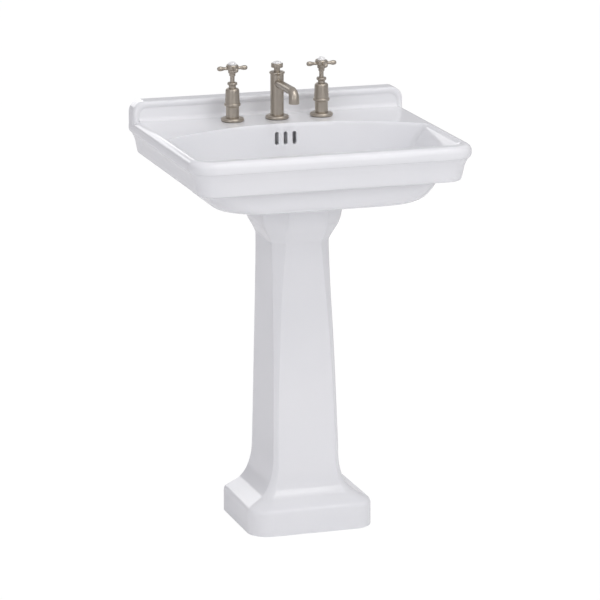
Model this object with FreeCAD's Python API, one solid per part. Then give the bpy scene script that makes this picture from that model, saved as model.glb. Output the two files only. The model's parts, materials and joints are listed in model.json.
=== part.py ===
import FreeCAD, Part
import math
import os

os.makedirs("parts", exist_ok=True)
V = FreeCAD.Vector

# ---------------------------------------------------------------- driving dimensions, mm
WIDTH = 610.0            # basin, left to right
DEPTH = 510.0            # basin, wall to front
RIM_Z = 852.0            # top of the deck and rim above the floor
UPSTAND_H = 42.5         # splash upstand above the deck
UPSTAND_T = 40.0
SHELL = 12.0             # general ceramic wall
DECK_T = 16.0
SIDE_RIM = 15.0          # outer face to the bowl's edge at the sides
FRONT_RIM = 30.0
BOWL_BACK = 150.0        # wall to the middle of the bowl's curved back edge
BOWL_ARC_R = 480.0       # plan radius of that back edge
BOWL_DEPTH = 119.5
TAP_SPACING = 100.0
TAP_Y = -93.0
DRAIN_Y = -225.0
HOLE_R = 14.5            # tap holes in the deck
SHANK_R = 10.4           # 1/2 in thread
PED_BACK = -140.0        # open back plane of the pedestal
PLINTH_HW = 138.0
PLINTH_FRONT = -358.0
NECK_HW = 64.0
LIFT_ANGLE = 10.0        # pivot rod tilt each side of level
ARM_IN = 24.0            # pivot ball to drain axis
BALL_DROP = 202.0        # pivot ball below the rim
NOZZLE_REACH = 118.0
GAP = 0.3                # between pieces that move past each other

HALF = WIDTH / 2.0
FRONT = -DEPTH
BASIN_BOTTOM = RIM_Z - BOWL_DEPTH - SHELL - 0.5
FLOOR = RIM_Z - BOWL_DEPTH
BOWL_HW = HALF - SIDE_RIM
BOWL_FRONT = FRONT + FRONT_RIM


def save(node, shape):
    out = shape.copy()
    out.translate(V(0, DEPTH / 2.0, 0))
    out.exportStep("parts/" + node + ".step")
    print(node, len(out.Solids), round(out.Volume / 1000.0, 1), "cm3", out.isValid())


def cyl(r, z0, z1, x=0.0, y=0.0):
    return Part.makeCylinder(r, z1 - z0, V(x, y, z0))


def tube(r_in, r_out, z0, z1, x=0.0, y=0.0):
    return cyl(r_out, z0, z1, x, y).cut(cyl(r_in, z0 - 1, z1 + 1, x, y))


def rod_along(axis, r, start, length):
    return Part.makeCylinder(r, length, start, axis)


def box(x0, x1, y0, y1, z0, z1):
    return Part.makeBox(x1 - x0, y1 - y0, z1 - z0, V(x0, y0, z0))


def turned(points, x=0.0, y=0.0):
    """Solid of revolution about the vertical line at x, y; points are (radius, z)."""
    pts = [V(x + r, y, z) for r, z in points]
    face = Part.Face(Part.makePolygon(pts + [pts[0]]))
    return face.revolve(V(x, y, 0), V(0, 0, 1), 360)


def arc_points(cr, cz, r, a0, a1, n):
    out = []
    for i in range(n + 1):
        a = math.radians(a0 + (a1 - a0) * i / n)
        out.append((cr + r * math.cos(a), cz + r * math.sin(a)))
    return out


def hexagon(across, z0, z1, x=0.0, y=0.0):
    pts = []
    for i in range(6):
        a = math.radians(60 * i)
        pts.append(V(x + across / math.sqrt(3) * math.cos(a), y + across / math.sqrt(3) * math.sin(a), z0))
    return Part.Face(Part.makePolygon(pts + [pts[0]])).extrude(V(0, 0, z1 - z0))


def line(a, b):
    return Part.makeLine(a, b)


def arc(a, m, b):
    return Part.Arc(a, m, b).toShape()


def u_wire(hw, back, front, t, z, bulge=0.293):
    """Plan outline, square at the back, with its two front corners cut by t and bowed."""
    k = bulge * t
    s = math.sqrt(0.5)
    a = V(-hw, back, z)
    b = V(-hw, front + t, z)
    c = V(-hw + t, front, z)
    d = V(hw - t, front, z)
    e = V(hw, front + t, z)
    f = V(hw, back, z)
    m1 = V(-hw + t / 2.0 - k * s, front + t / 2.0 - k * s, z)
    m2 = V(hw - t / 2.0 + k * s, front + t / 2.0 - k * s, z)
    return Part.Wire([line(a, b), arc(b, m1, c), line(c, d), arc(d, m2, e), line(e, f), line(f, a)])


def bowl_wire(wider, longer, rf, z):
    """Plan outline of the bowl, grown at each side and at the front; rf rounds its front corners."""
    hw = BOWL_HW + wider
    front = BOWL_FRONT - longer
    mid = -BOWL_BACK + longer * 0.25
    side = mid - (BOWL_ARC_R - math.sqrt(BOWL_ARC_R ** 2 - hw ** 2))
    rb = 20.0
    xb = hw - 0.9 * rb
    yb = mid - (BOWL_ARC_R - math.sqrt(BOWL_ARC_R ** 2 - xb ** 2))
    s = rf * (1 - math.sqrt(0.5))
    a = V(-hw, side - rb, z)
    b = V(-hw, front + rf, z)
    c = V(-hw + rf, front, z)
    d = V(hw - rf, front, z)
    e = V(hw, front + rf, z)
    f = V(hw, side - rb, z)
    g = V(xb, yb, z)
    h = V(-xb, yb, z)
    m1 = V(-hw + s, front + s, z)
    m2 = V(hw - s, front + s, z)
    m3 = V((hw * 2 + hw + xb) / 4.0, (side * 2 + side - rb + yb) / 4.0, z)
    m4 = V(-m3.x, m3.y, z)
    edges = [line(a, b), arc(b, m1, c), line(c, d), arc(d, m2, e), line(e, f), arc(f, m3, g)]
    edges.append(arc(g, V(0, mid, z), h))
    edges.append(arc(h, m4, a))
    return Part.Wire(edges)


def stack(wires):
    return Part.makeLoft(wires, True, True)


# ---------------------------------------------------------------- basin
# rim moulding: bullnose, small step, cove, fascia; (inset, height below the rim top)
RIM = [(24, 77), (21.2, 75.6), (19.6, 73), (18, 67), (16, 57), (14, 47), (12.2, 42), (10.2, 37),
       (8.2, 33), (6.5, 30), (4.5, 28), (4.4, 27), (2.2, 26), (0.6, 23), (0, 19), (0, 13), (0.8, 9), (3, 5),
       (6.4, 2), (10.5, 0.4), (14, 0)]
rim = stack([u_wire(HALF - i, 0, FRONT + i, 50.0 - 0.8 * i, RIM_Z - d) for i, d in RIM])

# skirted underside, open below and behind the bowl
cavity = stack([u_wire(HALF - 33, -16, FRONT + 33, 24, RIM_Z - 80),
                u_wire(HALF - 33, -16, FRONT + 33, 24, RIM_Z - DECK_T)])

# bowl skins; (growth at each side, growth at the front, corner radius, depth below the rim)
INNER = [(1.5, 3, 34, -3), (0, 2, 34, 0), (-2.5, -1, 34, 1.2), (-6, -4.5, 34, 4), (-10, -8, 35, 9),
         (-22, -14, 38, 32), (-32, -20, 44, 52), (-49, -28, 52, 77), (-58, -32, 56, 90),
         (-68, -37, 60, 103), (-80, -48, 62, 111), (-104, -75, 60, 115.5), (-145, -120, 50, 118)]
OUTER = [(8, 12, 40, 6), (6, 9, 42, 14), (-7, 4, 46, 32), (-19, -2, 52, 52), (-37, -13, 60, 77),
         (-43.5, -15, 66, 92), (-51.5, -17, 72, 106), (-59, -20, 80, 117), (-69, -26, 88, 125),
         (-91, -48, 84, 130), (-118, -80, 72, 131.5), (-170, -150, 50, 132)]
PROFILE_DEPTH = 119.5


def deepened(d):
    """Depth of a profile point when the bowl is deeper or shallower than the profile."""
    return d + (BOWL_DEPTH - PROFILE_DEPTH) * min(max(d, 0) / PROFILE_DEPTH, 1)


bowl_in = stack([bowl_wire(w, l, r, RIM_Z - deepened(d)) for w, l, r, d in INNER])
bowl_out = stack([bowl_wire(w, l, r, RIM_Z - deepened(d)) for w, l, r, d in OUTER])

# overflow box behind the bowl, duct under it, boss round the waste hole
duct_back = -BOWL_BACK + 30
hidden = box(-36, 36, -BOWL_BACK - 14, duct_back, FLOOR - 32, RIM_Z - 8)
hidden = hidden.fuse(box(-30, 30, DRAIN_Y, duct_back, FLOOR - 32, FLOOR - 4))
hidden = hidden.fuse(cyl(42, FLOOR - 32, FLOOR + 1, 0, DRAIN_Y))
basin = rim.cut(cavity).fuse(bowl_out).fuse(hidden)

# upstand with a roll moulding round its top and ends
def upstand_face(inset, y):
    r = 26.0 - inset * 0.6
    hw = HALF - inset
    top = RIM_Z + UPSTAND_H - inset
    k = r * (1 - math.sqrt(0.5))
    edges = [line(V(-hw, y, RIM_Z - 20), V(-hw, y, top - r)),
             arc(V(-hw, y, top - r), V(-hw + k, y, top - k), V(-hw + r, y, top)),
             line(V(-hw + r, y, top), V(hw - r, y, top)),
             arc(V(hw - r, y, top), V(hw - k, y, top - k), V(hw, y, top - r)),
             line(V(hw, y, top - r), V(hw, y, RIM_Z - 20)),
             line(V(hw, y, RIM_Z - 20), V(-hw, y, RIM_Z - 20))]
    return Part.Wire(edges)


body = stack([upstand_face(1.5, 0), upstand_face(0, -2), upstand_face(0, -UPSTAND_T + 6),
              upstand_face(0.8, -UPSTAND_T + 3), upstand_face(2.6, -UPSTAND_T + 1),
              upstand_face(6, -UPSTAND_T)])
panel = Part.Face(upstand_face(14, -UPSTAND_T - 1)).extrude(V(0, 5, 0))
basin = basin.fuse(body.cut(panel))
basin = basin.cut(bowl_in)

# overflow channel, three slots, waste hole with its recess, tap holes, wall fixing holes
channel = box(-28, 28, duct_back - 18, duct_back - 6, FLOOR - 24, RIM_Z - 14)
channel = channel.fuse(box(-20, 20, DRAIN_Y, duct_back - 6, FLOOR - 24, FLOOR - 12))
basin = basin.cut(channel)
for i in (-1, 0, 1):
    slot = box(-4.5, 4.5, -20, 20, -9.5, 9.5)
    for s in (-1, 1):
        slot = slot.fuse(Part.makeCylinder(4.5, 40, V(0, -20, s * 9.5), V(0, 1, 0)))
    slot.translate(V(i * 19.8, -BOWL_BACK - 8, RIM_Z - 31.5))
    basin = basin.cut(slot)
basin = basin.cut(cyl(22.5, FLOOR - 40, FLOOR + 5, 0, DRAIN_Y))
basin = basin.cut(cyl(33.5, FLOOR - 4, FLOOR + 6, 0, DRAIN_Y))
for i in (-1, 0, 1):
    basin = basin.cut(cyl(HOLE_R, RIM_Z - 30, RIM_Z + 10, i * TAP_SPACING, TAP_Y))
for s in (-1, 1):
    basin = basin.cut(rod_along(V(0, 1, 0), 6.5, V(s * 0.46 * HALF, -30, RIM_Z - 48), 40))
save("basin", basin)

# ---------------------------------------------------------------- pedestal
PH = BASIN_BOTTOM
F = PLINTH_FRONT
# (height, half width, front face, corner cut, corner bow)
OUT = [(0, PLINTH_HW, F, 45, 0.293), (47, PLINTH_HW, F, 45, 0.293),
       (53, PLINTH_HW - 1.5, F + 1.5, 44, 0.293),
       (57, PLINTH_HW - 5, F + 5, 42, 0.29), (71, 105, F + 33, 24, 0.25), (76, 99, F + 38, 21, 0.2),
       (87, 90, F + 43, 18, 0.15), (100, 83.5, F + 47.5, 15, 0.1), (118, 77.5, F + 51.5, 12, 0.05),
       (140, 74, F + 54, 10.5, 0.03), (185, 72.7, F + 56, 9.5, 0.03)]
IN = [(-1, 126, F + 12, 38), (44, 126, F + 12, 38), (60, 95, F + 43, 20), (76, 84, F + 52, 16),
      (100, 72.5, F + 59, 11), (140, 63, F + 65, 8)]
# the shaft is what is left between foot and capital; (share of the shaft height, ...)
SHAFT_Z = 185
CAPITAL_H = 104
SHAFT_H = PH - CAPITAL_H - SHAFT_Z
SHAFT_STEPS = [rise / 431.0 for rise in (125, 235, 315, 385)]
OUT += [(SHAFT_Z + k * SHAFT_H, NECK_HW + w, f, t, 0.03) for k, w, f, t in (
        (SHAFT_STEPS[0], 5.7, -295, 10.3), (SHAFT_STEPS[1], 3.2, -288, 13),
        (SHAFT_STEPS[2], 1.4, -281, 17), (SHAFT_STEPS[3], 0.2, -279, 22))]
OUT += [(PH - d, NECK_HW + w, f, t, 0.03) for d, w, f, t in (
        (CAPITAL_H, 0, -278.8, 26), (88, 4, -283, 29), (70, 11.5, -293, 35), (52, 19.5, -303, 42),
        (30, 30, -316, 52), (12, 38, -326, 60), (0, 42, -331, 64))]
IN += [(SHAFT_Z + k * SHAFT_H, NECK_HW + w, f, t) for k, w, f, t in (
       (SHAFT_STEPS[0], -5.3, -284, 8), (SHAFT_STEPS[2], -9.6, -270, 11))]
IN += [(PH - d, NECK_HW + w, f, t) for d, w, f, t in (
       (CAPITAL_H, -11, -268, 17), (80, -5, -277, 23),
       (52, 7, -291, 33), (30, 17, -304, 42), (-1, 31, -319, 54))]
shell = stack([u_wire(w, PED_BACK, f, t, z, b) for z, w, f, t, b in OUT])
core = stack([u_wire(w, PED_BACK + 5, f, t, z, 0.05) for z, w, f, t in IN])
pedestal = shell.cut(core)
for s in (-1, 1):
    lug = box(s * 108 - 22, s * 108 + 22, PED_BACK - 40, PED_BACK, 0, 14)
    pedestal = pedestal.fuse(lug.common(shell))
for s in (-1, 1):
    pedestal = pedestal.cut(cyl(3.5, -1, 16, s * 106, PED_BACK - 20))
save("pedestal", pedestal)

# ---------------------------------------------------------------- pop-up waste
D = DRAIN_Y
boss = FLOOR - 32
flange = turned([(17.5, FLOOR - 46), (20, FLOOR - 46), (20, FLOOR - 2.5), (31.5, FLOOR - 2.5),
                 (32, FLOOR - 1.2), (30, FLOOR), (20, FLOOR + 0.4), (18.6, FLOOR - 0.4),
                 (17.5, FLOOR - 2)], 0, D)
for a in (0, 90):
    win = box(-6, 6, -30, 30, FLOOR - 24, FLOOR - 12)
    win.rotate(V(0, 0, 0), V(0, 0, 1), a)
    win.translate(V(0, D, 0))
    flange = flange.cut(win)
save("waste_flange", flange)
save("waste_seat_gasket", tube(23.5, 31, FLOOR - 4, FLOOR - 2.5, 0, D))
gasket = turned([(20, boss - 7), (30, boss - 7), (30, boss - 3), (27, boss), (20, boss)], 0, D)
save("waste_lower_gasket", gasket)
save("waste_backnut_washer", tube(20, 30, boss - 8.5, boss - 7, 0, D))
save("waste_backnut", hexagon(54, boss - 13.5, boss - 8.5, 0, D).cut(cyl(20, boss - 20, boss, 0, D)))

ball_z = RIM_Z - BALL_DROP
ball_y = D + ARM_IN
body = turned([(16.5, ball_z - 45), (20, ball_z - 45), (20, FLOOR - 66), (23.5, FLOOR - 62),
               (23.5, FLOOR - 47),
               (20, FLOOR - 47), (20, FLOOR - 58), (16.5, FLOOR - 58)], 0, D)
body = body.cut(cyl(17, FLOOR - 46, FLOOR, 0, D))
neck = rod_along(V(0, 1, 0), 10, V(0, D + 12, ball_z), 22)
body = body.fuse(neck).cut(cyl(16.5, ball_z - 50, FLOOR, 0, D))
body = body.cut(rod_along(V(0, 1, 0), 6.2, V(0, D + 5, ball_z), 40))
body = body.cut(rod_along(V(0, 1, 0), 8.0, V(0, ball_y + 6.5, ball_z), 20))
save("waste_body", body)
seat = rod_along(V(0, 1, 0), 7.8, V(0, ball_y + 6.5, ball_z), 3.5)
seat = seat.cut(Part.makeSphere(5.8, V(0, ball_y, ball_z)))
seat = seat.cut(rod_along(V(0, 1, 0), 4.6, V(0, ball_y, ball_z), 20))
save("pivot_seat", seat)
nut = rod_along(V(0, 1, 0), 13, V(0, ball_y + 2, ball_z), 12)
nut = nut.cut(rod_along(V(0, 1, 0), 10, V(0, ball_y, ball_z), 10))
nut = nut.cut(Part.makeCone(5.0, 7.0, 6, V(0, ball_y + 9.5, ball_z), V(0, 1, 0)))
for i in range(8):
    a = math.radians(45 * i)
    nut = nut.cut(rod_along(V(0, 1, 0), 1.4, V(13.4 * math.cos(a), ball_y, ball_z + 13.4 * math.sin(a)), 16))
save("pivot_nut", nut)
tail = tube(14.8, 16.5, ball_z - 110, ball_z - 37, 0, D)
save("waste_tail", tail.cut(tube(16.4, 20, ball_z - 200, ball_z - 46, 0, D)))

# plug, drawn raised by its travel
rise = 2 * ARM_IN * math.sin(math.radians(LIFT_ANGLE))
top = FLOOR + 0.8 + rise
stem_low = ball_z + ARM_IN * math.sin(math.radians(LIFT_ANGLE)) + 3.1
plug = turned([(0, stem_low), (3, stem_low), (3, top - 8), (13.5, top - 8), (13.5, top - 6), (15.2, top - 6),
               (15.2, top - 3), (13.5, top - 3), (13.5, top), (20.5, top), (21.5, top + 1), (20, top + 2.4),
               (12, top + 4.2), (0, top + 4.8)], 0, D)
for a in (0, 90):
    fin = box(-16.4, 16.4, -0.9, 0.9, top - 34, top - 8)
    fin.rotate(V(0, 0, 0), V(0, 0, 1), a + 45)
    fin.translate(V(0, D, 0))
    plug = plug.fuse(fin)
save("popup_plug", plug)
save("plug_seal", tube(15.2, 17.0, top - 5.8, top - 3.2, 0, D))

# pivot rod: ball, inner arm under the plug, outer arm to the strap
strap_y = TAP_Y + 3.75
reach = (strap_y - ball_y) / math.cos(math.radians(LIFT_ANGLE))
outward = V(0, math.cos(math.radians(LIFT_ANGLE)), -math.sin(math.radians(LIFT_ANGLE)))
ball = V(0, ball_y, ball_z)
rod = rod_along(outward, 2.2, ball - outward * (ARM_IN + 4), ARM_IN + 4 + reach + 14)
save("pivot_rod", rod.fuse(Part.makeSphere(5.5, ball)))
hook_z = ball_z - reach * math.sin(math.radians(LIFT_ANGLE))

# ---------------------------------------------------------------- lift rod and linkage
TOP = RIM_Z + 102.5      # top of the spout column's collar
save("lift_rod", cyl(2.5, hook_z + 22, TOP + 8, 0, TAP_Y))
knob = turned([(2.5, TOP - 2.6), (6.3, TOP - 2.6), (6.3, TOP + 7.2), (9.6, TOP + 7.2), (12.5, TOP + 10),
               (12.5, TOP + 14.6), (11.9, TOP + 15.8), (10.6, TOP + 16), (10.6, TOP + 15), (0, TOP + 15),
               (0, TOP + 8), (2.5, TOP + 8)], 0, TAP_Y)
save("lift_knob", knob)
dome = [(0, TOP + 15), (10.6, TOP + 15), (10.6, TOP + 16.4), (9.6, TOP + 18.6), (7.4, TOP + 20.6),
        (4, TOP + 21.8), (0, TOP + 22.1)]
save("lift_knob_cap", turned(dome, 0, TAP_Y))
strap = box(-6, 6, TAP_Y + 3, TAP_Y + 4.5, hook_z - 7.4, hook_z + 74)
for i in range(7):
    strap = strap.cut(rod_along(V(0, 1, 0), 2.9, V(0, TAP_Y, hook_z + 10 * i), 10))
save("linkage_strap", strap)
clamp = box(-6, 6, TAP_Y - 5.5, TAP_Y + 3, hook_z + 50, hook_z + 66)
clamp = clamp.cut(cyl(2.5, hook_z, hook_z + 100, 0, TAP_Y))
clamp = clamp.cut(rod_along(V(0, 1, 0), 1.8, V(0, TAP_Y - 10, hook_z + 58), 8))
save("rod_clamp", clamp)
screw = rod_along(V(0, 1, 0), 1.8, V(0, TAP_Y - 8, hook_z + 58), 5.5)
save("clevis_screw", screw.fuse(rod_along(V(0, 1, 0), 6, V(0, TAP_Y - 11, hook_z + 58), 4)))
clip = box(-5, 5, strap_y - 5.5, strap_y + 5.5, hook_z - 8, hook_z + 8)
clip = clip.cut(box(-6, 6, strap_y - 4.9, strap_y + 4.9, hook_z - 7.4, hook_z + 9))
clip = clip.cut(rod_along(V(0, 1, 0), 3.6, V(0, strap_y - 8, hook_z), 16))
save("strap_clip", clip)

# ---------------------------------------------------------------- spout
SEAL = 0.8
base = RIM_Z + SEAL
ring_profile = [(0, 0), (9.4, 0), (10.4, 1.2), (10.8, 3), (10.4, 4.9), (9.2, 6.4), (7.2, 7.4), (4.6, 7.6),
                (1.6, 7.2), (0, 7.2)]


def escutcheon(r, x):
    return turned([(r + a, base + b) for a, b in ring_profile], x, TAP_Y)


save("spout_base_flange", escutcheon(14.4, 0))
column = tube(11.5, 14.4, base, TOP - 7.5, 0, TAP_Y).fuse(tube(SHANK_R, 14.4, base, base + 5, 0, TAP_Y))
column = column.cut(cyl(SHANK_R, base - 1, base + 5, 0, TAP_Y))
tube_z = TOP - 24.5
column = column.cut(rod_along(V(0, -1, 0), 6.4, V(0, TAP_Y, tube_z), 30))
save("spout_column", column)
collar = turned([(4.2, TOP - 12), (11.5, TOP - 12), (11.5, TOP - 7.5), (14.4, TOP - 7.5), (14.9, TOP - 5.6),
                 (16.2, TOP - 4.2), (16.8, TOP - 2.4), (16.2, TOP - 0.7), (14.6, TOP), (12.4, TOP - 0.8),
                 (7.2, TOP - 1.6), (7.2, TOP - 5), (4.2, TOP - 5)], 0, TAP_Y)
save("spout_collar", collar)
save("rod_guide_tube", tube(2.8, 4.2, RIM_Z - 84, TOP - 5, 0, TAP_Y))

bend = 20.0
mouth_z = TOP - 49.5
tip_y = TAP_Y - NOZZLE_REACH


def nozzle_loft(shrink, extra):
    stations = [(V(0, TAP_Y - 8, tube_z), 0, 9.0), (V(0, tip_y + bend + 8, tube_z), 0, 9.3)]
    for i in range(0, 10):
        a = math.radians(10 * i)
        p = V(0, tip_y + bend - bend * math.sin(a), tube_z - bend + bend * math.cos(a))
        stations.append((p, 10 * i, 9.5 + 1.7 * i / 9.0))
    stations.append((V(0, tip_y, mouth_z - extra), 90, 11.4))
    wires = []
    for p, turn, r in stations:
        ring = Part.Wire(Part.makeCircle(r - shrink, V(0, 0, 0), V(0, -1, 0)))
        ring.rotate(V(0, 0, 0), V(1, 0, 0), turn)
        ring.translate(p)
        wires.append(ring)
    return Part.makeLoft(wires, True, True)


nozzle = nozzle_loft(0, 0).cut(nozzle_loft(2.6, 1))
nozzle = nozzle.cut(cyl(14.4, RIM_Z, TOP, 0, TAP_Y))
save("spout_nozzle", max(nozzle.Solids, key=lambda s: s.Volume))
aerator = cyl(8.6, mouth_z + 0.6, mouth_z + 3.2, 0, tip_y)
for i in range(8):
    a = math.radians(45 * i)
    aerator = aerator.cut(cyl(1.3, mouth_z, mouth_z + 5, 5.2 * math.cos(a), tip_y + 5.2 * math.sin(a)))
save("aerator", aerator)
save("spout_shank", tube(8, SHANK_R, RIM_Z - 52, base + 5, 0, TAP_Y))

# tee under the deck; its ports and the valves' ports share one height
port_z = RIM_Z - 64
tee = cyl(13, port_z - 12, RIM_Z - 46, 0, TAP_Y).fuse(rod_along(V(1, 0, 0), 7.5, V(-26, TAP_Y, port_z), 52))
tee = tee.cut(cyl(8, port_z - 8, RIM_Z, 0, TAP_Y)).cut(cyl(SHANK_R, RIM_Z - 52, RIM_Z, 0, TAP_Y))
tee = tee.cut(cyl(4.2, port_z - 20, port_z, 0, TAP_Y))
tee = tee.cut(rod_along(V(1, 0, 0), 5, V(-30, TAP_Y, port_z), 60))
save("spout_tee", tee)

# ---------------------------------------------------------------- side valves
for name, side in (("hot", -1), ("cold", 1)):
    x = side * TAP_SPACING
    valve = cyl(SHANK_R, RIM_Z - 117, RIM_Z + 38, x, TAP_Y).fuse(cyl(13, port_z - 12, RIM_Z - 48, x, TAP_Y))
    valve = valve.fuse(rod_along(V(-side, 0, 0), 7.5, V(x, TAP_Y, port_z), 26))
    valve = valve.cut(cyl(6.5, RIM_Z - 118, RIM_Z + 29, x, TAP_Y))
    valve = valve.cut(cyl(9, RIM_Z + 29, RIM_Z + 40, x, TAP_Y))
    valve = valve.cut(rod_along(V(-side, 0, 0), 5, V(x, TAP_Y, port_z), 30))
    save(name + "_valve_body", valve)
    save(name + "_base_flange", escutcheon(14.2, x))
    sleeve = turned([(SHANK_R + GAP, base), (14.2, base), (14.2, RIM_Z + 31.5), (15.4, RIM_Z + 33),
                     (16.9, RIM_Z + 33.6), (17.7, RIM_Z + 35), (17.7, RIM_Z + 37.4), (16.9, RIM_Z + 39.2),
                     (15.6, RIM_Z + 40), (SHANK_R + GAP, RIM_Z + 40)], x, TAP_Y)
    save(name + "_sleeve", sleeve)
    bell = turned([(13.2, RIM_Z + 40), (15.8, RIM_Z + 40), (15.4, RIM_Z + 47), (14.7, RIM_Z + 58),
                   (14.2, RIM_Z + 66), (13.4, RIM_Z + 69), (11.4, RIM_Z + 71), (8, RIM_Z + 72),
                   (7.0, RIM_Z + 72), (7.0, RIM_Z + 69.4), (11, RIM_Z + 67), (12.2, RIM_Z + 63)], x, TAP_Y)
    save(name + "_bell", bell)
    cartridge = turned([(4.8 + GAP, RIM_Z + 29), (9, RIM_Z + 29), (9, RIM_Z + 66), (7.0, RIM_Z + 67),
                        (7.0, RIM_Z + 72), (4.8 + GAP, RIM_Z + 72)], x, TAP_Y)
    save(name + "_cartridge", cartridge)
    gland = turned([(4.8 + GAP, RIM_Z + 72), (8, RIM_Z + 72), (7.4, RIM_Z + 74), (8, RIM_Z + 77),
                    (10.4, RIM_Z + 79.5), (10.6, RIM_Z + 82), (9.8, RIM_Z + 84.4),
                    (4.8 + GAP, RIM_Z + 84.4)],
                   x, TAP_Y)
    save(name + "_gland_nut", gland)
    spindle = cyl(4.8, RIM_Z + 32, RIM_Z + 112, x, TAP_Y).cut(cyl(1.9, RIM_Z + 102, RIM_Z + 113, x, TAP_Y))
    save(name + "_spindle", spindle)
    hub = turned([(0, RIM_Z + 98.6), (8, RIM_Z + 98.6), (9.2, RIM_Z + 99.6), (9.2, RIM_Z + 105.4),
                  (11.6, RIM_Z + 106.4), (13.2, RIM_Z + 108.6), (13.4, RIM_Z + 119), (12.2, RIM_Z + 121.2),
                  (9.4, RIM_Z + 121.8), (0, RIM_Z + 121.8)], x, TAP_Y)
    arm_z = RIM_Z + 114.5
    arm = [(0, 8), (3.6, 8), (3.3, 15), (3.4, 18), (4.4, 22), (5.1, 25.5), (5.1, 28), (4.4, 31), (2.8, 33),
           (0, 33.5)]
    outline = Part.Face(Part.makePolygon([V(r, 0, d) for r, d in arm + [arm[0]]]))
    one = outline.revolve(V(0, 0, 0), V(0, 0, 1), 360)
    one.rotate(V(0, 0, 0), V(0, 1, 0), 90)
    for i in range(4):
        piece = one.copy()
        piece.rotate(V(0, 0, 0), V(0, 0, 1), 90 * i)
        piece.translate(V(x, TAP_Y, arm_z))
        hub = hub.fuse(piece)
    hub = hub.cut(cyl(4.8, RIM_Z + 90, RIM_Z + 112, x, TAP_Y))
    hub = hub.cut(cyl(1.9, RIM_Z + 111, RIM_Z + 116, x, TAP_Y))
    hub = hub.cut(cyl(5.4, RIM_Z + 114.5, RIM_Z + 125, x, TAP_Y))
    save(name + "_cross_handle", hub)
    fixing = cyl(1.9, RIM_Z + 103, RIM_Z + 114.5, x, TAP_Y)
    fixing = fixing.fuse(cyl(3.8, RIM_Z + 114.5, RIM_Z + 117, x, TAP_Y))
    slot = box(x - 0.5, x + 0.5, TAP_Y - 5, TAP_Y + 5, RIM_Z + 116, RIM_Z + 118)
    save(name + "_handle_screw", fixing.cut(slot))
    index = turned([(0, RIM_Z + 118.2), (5.4, RIM_Z + 118.2), (5.4, RIM_Z + 121.8), (9.3, RIM_Z + 121.8),
                    (9.3, RIM_Z + 123), (8.6, RIM_Z + 125.6), (6.6, RIM_Z + 128), (3.6, RIM_Z + 129.4),
                    (0, RIM_Z + 129.8)], x, TAP_Y)
    save(name + "_handle_cap", index)

# link pipes with their union nuts
x_tee = 23.0
x_valve = TAP_SPACING - 23.0
pipes = []
nuts = []
for side in (-1, 1):
    start = V(side * x_tee, TAP_Y, port_z)
    p = rod_along(V(side, 0, 0), 5, start, x_valve - x_tee)
    pipes.append(p.cut(rod_along(V(side, 0, 0), 4.1, start - V(side, 0, 0), 200)))
    for at, d in ((x_tee - 5, 1), (x_valve + 5, -1)):
        h = hexagon(20, 0, 13)
        h = h.cut(cyl(5, -1, 20)).cut(cyl(7.5, -1, 8))
        h.rotate(V(0, 0, 0), V(0, 1, 0), 90 * side * d)
        h.translate(V(side * at, TAP_Y, port_z))
        nuts.append(h)
save("link_pipes", Part.makeCompound(pipes))
save("link_nuts", Part.makeCompound(nuts))

taps = [i * TAP_SPACING for i in (-1, 0, 1)]
save("deck_seals", Part.makeCompound([tube(SHANK_R + GAP, 22.5, RIM_Z, base, x, TAP_Y) for x in taps]))
under = RIM_Z - DECK_T
save("deck_washers", Part.makeCompound([tube(SHANK_R, 22, under - 2, under, x, TAP_Y) for x in taps]))
backs = [hexagon(32, under - 12, under - 2, x, TAP_Y).cut(cyl(SHANK_R, under - 20, under, x, TAP_Y))
         for x in taps]
save("deck_backnuts", Part.makeCompound(backs))

# ---------------------------------------------------------------- bottle trap inside the pedestal
tz = ball_z - 96
OUTLET_R = 16.0
SPIGOT_R = 15.6
OUTLET_Y = D + 60.5
trap = turned([(16.5, tz - 12), (20, tz - 12), (20, tz - 26), (32, tz - 34), (32, tz - 84), (30, tz - 84),
               (30, tz - 36), (16.5, tz - 30)], 0, D)
trap = trap.fuse(rod_along(V(0, 1, 0), 20, V(0, D + 24, tz - 56), 28))
trap = trap.cut(cyl(29.9, tz - 84, tz - 36, 0, D)).cut(rod_along(V(0, 1, 0), 16.2, V(0, D, tz - 56), 60))
save("trap_body", trap)
cup = turned([(29.9, tz - 80), (29.9, tz - 88), (34, tz - 88), (34, tz - 150), (28, tz - 158), (0, tz - 160),
              (0, tz - 157), (26, tz - 155), (27.4, tz - 150), (27.4, tz - 80)], 0, D)
cup = cup.fuse(tube(29.9, 30, tz - 88, tz - 80, 0, D))
save("trap_cup", cup)
# the end inside the nut is turned down, and its shoulder stops against the nut's face
pipe = rod_along(V(0, 1, 0), SPIGOT_R, V(0, D + 34, tz - 56), 28)
pipe = pipe.fuse(rod_along(V(0, 1, 0), OUTLET_R, V(0, OUTLET_Y, tz - 56), -OUTLET_Y))
save("trap_outlet_pipe", pipe.cut(rod_along(V(0, 1, 0), 14.4, V(0, D, tz - 56), 400)))
trap_nuts = [tube(20, 24, tz - 20, tz + 4, 0, D).fuse(tube(16.8, 24, tz + 4, tz + 7, 0, D))]
out_nut = rod_along(V(0, 1, 0), 24, V(0, D + 40, tz - 56), 20)
out_nut = out_nut.cut(rod_along(V(0, 1, 0), 20, V(0, D + 39, tz - 56), 18))
trap_nuts.append(out_nut.cut(rod_along(V(0, 1, 0), 16.3, V(0, D, tz - 56), 90)))
save("trap_nuts", Part.makeCompound(trap_nuts))
seals = [tube(16.5, 20, tz - 12, tz + 4, 0, D), tube(30, 34, tz - 88, tz - 84, 0, D)]
ring = rod_along(V(0, 1, 0), 20, V(0, D + 52, tz - 56), 5)
seals.append(ring.cut(rod_along(V(0, 1, 0), SPIGOT_R, V(0, D, tz - 56), 90)))
save("trap_seals", Part.makeCompound(seals))
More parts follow.
